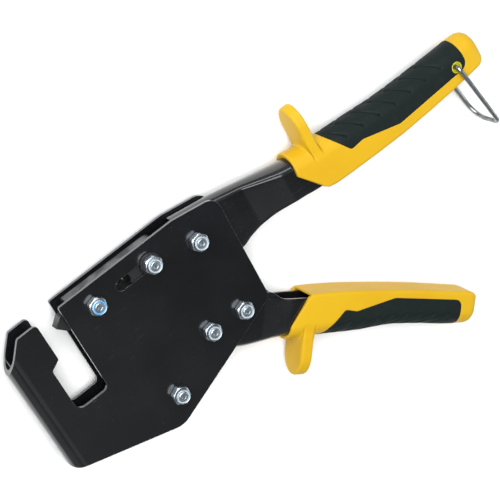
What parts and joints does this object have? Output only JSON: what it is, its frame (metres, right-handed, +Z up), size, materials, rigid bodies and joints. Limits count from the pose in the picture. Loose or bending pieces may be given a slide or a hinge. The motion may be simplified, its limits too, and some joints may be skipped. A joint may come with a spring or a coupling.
{
  "type": "stud crimper",
  "caption": "Hand crimper for sheet-metal studs: folded steel head with a C throat, sprung punch slide, two gripped lever handles and a wire bail.",
  "frame": {"origin": "middle of the footprint of the tool lying on its far side, on the plane that it lies on", "axes": "+X back along the punch slide, from the nose to the handle ends; +Y out of the jaw's mouth; +Z up, through the side plates towards the nuts"},
  "size_m": [0.3366, 0.1892, 0.0293],
  "materials": {
    "head_paint": "gloss black stoved paint",
    "lever_paint": "gloss black paint",
    "grip_plastic": "moulded yellow plastic, soft sheen",
    "soft_rubber": "charcoal soft-touch overmould",
    "blue_nylon": "blue locking ring",
    "clear_nylon": "clear locking ring",
    "eyelet_brass": "yellow-green moulded bush",
    "bail_wire": "drawn wire, zinc plated",
    "spring_steel": "spring wire",
    "slide_steel": "blackened steel with oil film",
    "blade_steel": "blackened tool steel",
    "dark_washer": "blackened washer",
    "zinc_plate": "bright zinc plate with a bluish tint",
    "bright_steel": "ground steel"
  },
  "bodies": {
    "head": {"head_frame": "head_paint", "guide_sleeve": "bright_steel", "pivot_bush": "bright_steel", "frame_spacer": "bright_steel", "handle_spacer_front": "bright_steel", "handle_spacer_rear": "bright_steel", "return_spring": "spring_steel", "lower_lever": "lever_paint", "lower_grip": "grip_plastic", "lower_overmould": "soft_rubber", "guide_bolt": "zinc_plate", "pivot_bolt": "zinc_plate", "handle_bolt_front": "zinc_plate", "handle_bolt_rear": "zinc_plate", "frame_bolt": "zinc_plate", "guide_nut": "zinc_plate", "pivot_nut": "zinc_plate", "handle_nut_front": "zinc_plate", "handle_nut_rear": "zinc_plate", "frame_nut": "zinc_plate", "guide_nut_ring": "blue_nylon", "pivot_nut_ring": "clear_nylon", "handle_nut_ring_front": "clear_nylon", "handle_nut_ring_rear": "clear_nylon", "frame_nut_ring": "clear_nylon"},
    "punch": {"punch_slide": "slide_steel", "punch_blade": "blade_steel", "punch_pin": "bright_steel", "slide_cheek_near": "slide_steel", "slide_cheek_far": "slide_steel", "slide_rivets": "bright_steel", "slide_bolt": "zinc_plate", "slide_nut": "zinc_plate", "slide_nut_ring": "clear_nylon", "slide_washer_near": "dark_washer", "slide_washer_far": "dark_washer"},
    "upper_handle": {"upper_lever": "lever_paint", "drive_pin": "bright_steel", "upper_grip": "grip_plastic", "upper_overmould": "soft_rubber", "eyelet_near": "eyelet_brass", "eyelet_far": "eyelet_brass"},
    "bail": {"wire_bail": "bail_wire"}
  },
  "joints": [
    {"name": "handle_pivot", "type": "hinge", "parent": "head", "child": "upper_handle", "pos_m": [-0.0403, 0.0649, 0.01365], "axis": [0, 0, 1], "range_deg": [-35, 0], "stiffness_Nm_per_rad": 1.5, "springref_deg": 20.05},
    {"name": "punch_travel", "type": "slide", "parent": "head", "child": "punch", "axis": [-1, 0, 0], "range_m": [0, 0.02013], "deforming": ["return_spring"]},
    {"name": "bail_swing", "type": "hinge", "parent": "upper_handle", "child": "bail", "pos_m": [0.14795, 0.05225, 0.01365], "axis": [0, 0, 1], "range_deg": [-78, 232]}
  ],
  "couplings": [
    {"joint": "punch_travel", "follows": "handle_pivot", "m_per_rad": -0.032785}
  ]
}
